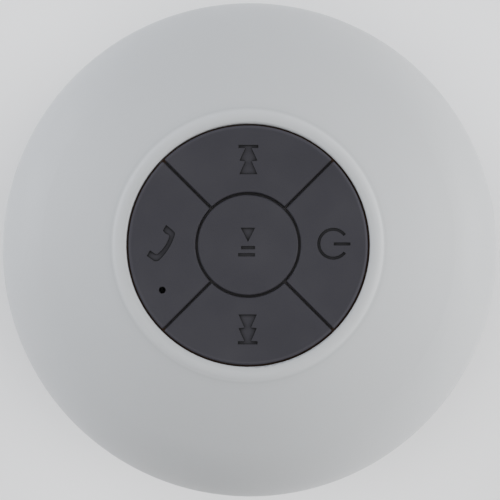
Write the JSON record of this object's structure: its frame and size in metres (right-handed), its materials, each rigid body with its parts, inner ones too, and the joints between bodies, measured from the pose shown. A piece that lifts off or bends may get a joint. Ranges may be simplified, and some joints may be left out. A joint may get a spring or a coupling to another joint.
{
  "type": "shower speaker",
  "caption": "Round splash-proof wireless speaker with a domed silicone front, a sealed round keypad, a rear-firing driver and a suction cup that holds it to a wall.",
  "frame": {"origin": "centre of the suction cup's lip, on the surface that it is pressed against", "axes": "+Z out through the keypad, +X to the power key, which is at the top when the speaker hangs on a wall"},
  "size_m": [0.086, 0.086, 0.055],
  "materials": {
    "skin": "pale grey silicone, soft matte with a fine bloom",
    "shell": "moulded ABS, off-white, inside the case",
    "cover": "moulded ABS, pale grey-white, fine spark texture",
    "clear_silicone": "translucent silicone, glossy",
    "keys": "dark grey silicone rubber, fine matte texture",
    "keypad": "black silicone rubber",
    "flap": "pale grey silicone rubber",
    "seal": "black rubber",
    "board": "green glass-fibre board with solder mask",
    "chip": "black moulded components",
    "tin": "tinned steel",
    "steel": "zinc-plated steel",
    "black_steel": "pressed steel, black",
    "switch": "black nylon",
    "socket_plastic": "white nylon",
    "lens": "clear light-emitting diode",
    "battery_foil": "laminated aluminium pouch",
    "foam": "black foam tape",
    "wire": "insulated copper wire",
    "cloth": "open woven cloth, black",
    "ferrite": "ferrite, dark grey",
    "copper": "enamelled copper winding",
    "paper": "pressed paper, black"
  },
  "bodies": {
    "housing": {"front_skin": "skin", "front_shell": "shell", "rear_cover": "cover", "seal_ring": "seal", "keypad_membrane": "keypad", "flap_anchor": "flap", "main_board": "board", "usb_board": "board", "driver_terminal": "board", "board_screws": "steel", "case_screws": "steel", "bluetooth_chip": "tin", "amplifier_chip": "chip", "battery_plug": "socket_plastic", "board_components": "chip", "status_light": "lens", "microphone": "tin", "microphone_boot": "seal", "battery": "battery_foil", "battery_pad": "foam", "battery_leads": "wire", "usb_leads": "wire", "speaker_leads": "wire", "speaker_baffle": "shell", "grille_cloth": "cloth", "driver_gasket": "foam", "driver_basket": "black_steel", "driver_plate": "steel", "driver_magnet": "ferrite", "driver_yoke": "steel", "driver_surround": "seal", "driver_spider": "cloth", "usb_socket": "tin", "switch_play": "switch", "switch_power": "switch", "switch_previous": "switch", "switch_call": "switch", "switch_next": "switch"},
    "suction_cup": {"suction_cup": "clear_silicone"},
    "usb_flap": {"usb_flap": "flap"},
    "driver_cone": {"driver_cone": "paper", "voice_coil": "copper", "dust_cap": "paper"},
    "key_play": {"key_play": "keys"},
    "plunger_play": {"plunger_play": "socket_plastic"},
    "key_power": {"key_power": "keys"},
    "plunger_power": {"plunger_power": "socket_plastic"},
    "key_previous": {"key_previous": "keys"},
    "plunger_previous": {"plunger_previous": "socket_plastic"},
    "key_call": {"key_call": "keys"},
    "plunger_call": {"plunger_call": "socket_plastic"},
    "key_next": {"key_next": "keys"},
    "plunger_next": {"plunger_next": "socket_plastic"}
  },
  "joints": [
    {"name": "cup_swivel", "type": "hinge", "parent": "housing", "child": "suction_cup", "pos_m": [0, 0, 0.0125], "axis": [0, 0, 1], "continuous": true},
    {"name": "play_press", "type": "slide", "parent": "housing", "child": "key_play", "axis": [0, 0, -1], "range_m": [0, 0.0004], "stiffness_N_per_m": 3000},
    {"name": "play_plunger", "type": "slide", "parent": "housing", "child": "plunger_play", "axis": [0, 0, -1], "range_m": [0, 0.0004]},
    {"name": "power_press", "type": "slide", "parent": "housing", "child": "key_power", "axis": [0, 0, -1], "range_m": [0, 0.0004], "stiffness_N_per_m": 3000},
    {"name": "power_plunger", "type": "slide", "parent": "housing", "child": "plunger_power", "axis": [0, 0, -1], "range_m": [0, 0.0004]},
    {"name": "previous_press", "type": "slide", "parent": "housing", "child": "key_previous", "axis": [0, 0, -1], "range_m": [0, 0.0004], "stiffness_N_per_m": 3000},
    {"name": "previous_plunger", "type": "slide", "parent": "housing", "child": "plunger_previous", "axis": [0, 0, -1], "range_m": [0, 0.0004]},
    {"name": "call_press", "type": "slide", "parent": "housing", "child": "key_call", "axis": [0, 0, -1], "range_m": [0, 0.0004], "stiffness_N_per_m": 3000},
    {"name": "call_plunger", "type": "slide", "parent": "housing", "child": "plunger_call", "axis": [0, 0, -1], "range_m": [0, 0.0004]},
    {"name": "next_press", "type": "slide", "parent": "housing", "child": "key_next", "axis": [0, 0, -1], "range_m": [0, 0.0004], "stiffness_N_per_m": 3000},
    {"name": "next_plunger", "type": "slide", "parent": "housing", "child": "plunger_next", "axis": [0, 0, -1], "range_m": [0, 0.0004]},
    {"name": "flap_hinge", "type": "hinge", "parent": "housing", "child": "usb_flap", "pos_m": [-0.03862, 0, 0.02789], "axis": [0, 1, 0], "range_deg": [0, 110], "stiffness_Nm_per_rad": 0.0002},
    {"name": "cone_travel", "type": "slide", "parent": "housing", "child": "driver_cone", "axis": [0, 0, 1], "range_m": [-0.0008, 0.0008], "stiffness_N_per_m": 1500, "deforming": ["driver_surround", "driver_spider"]}
  ],
  "couplings": [
    {"joint": "play_plunger", "follows": "play_press", "ratio": 1},
    {"joint": "power_plunger", "follows": "power_press", "ratio": 1},
    {"joint": "previous_plunger", "follows": "previous_press", "ratio": 1},
    {"joint": "call_plunger", "follows": "call_press", "ratio": 1},
    {"joint": "next_plunger", "follows": "next_press", "ratio": 1}
  ]
}
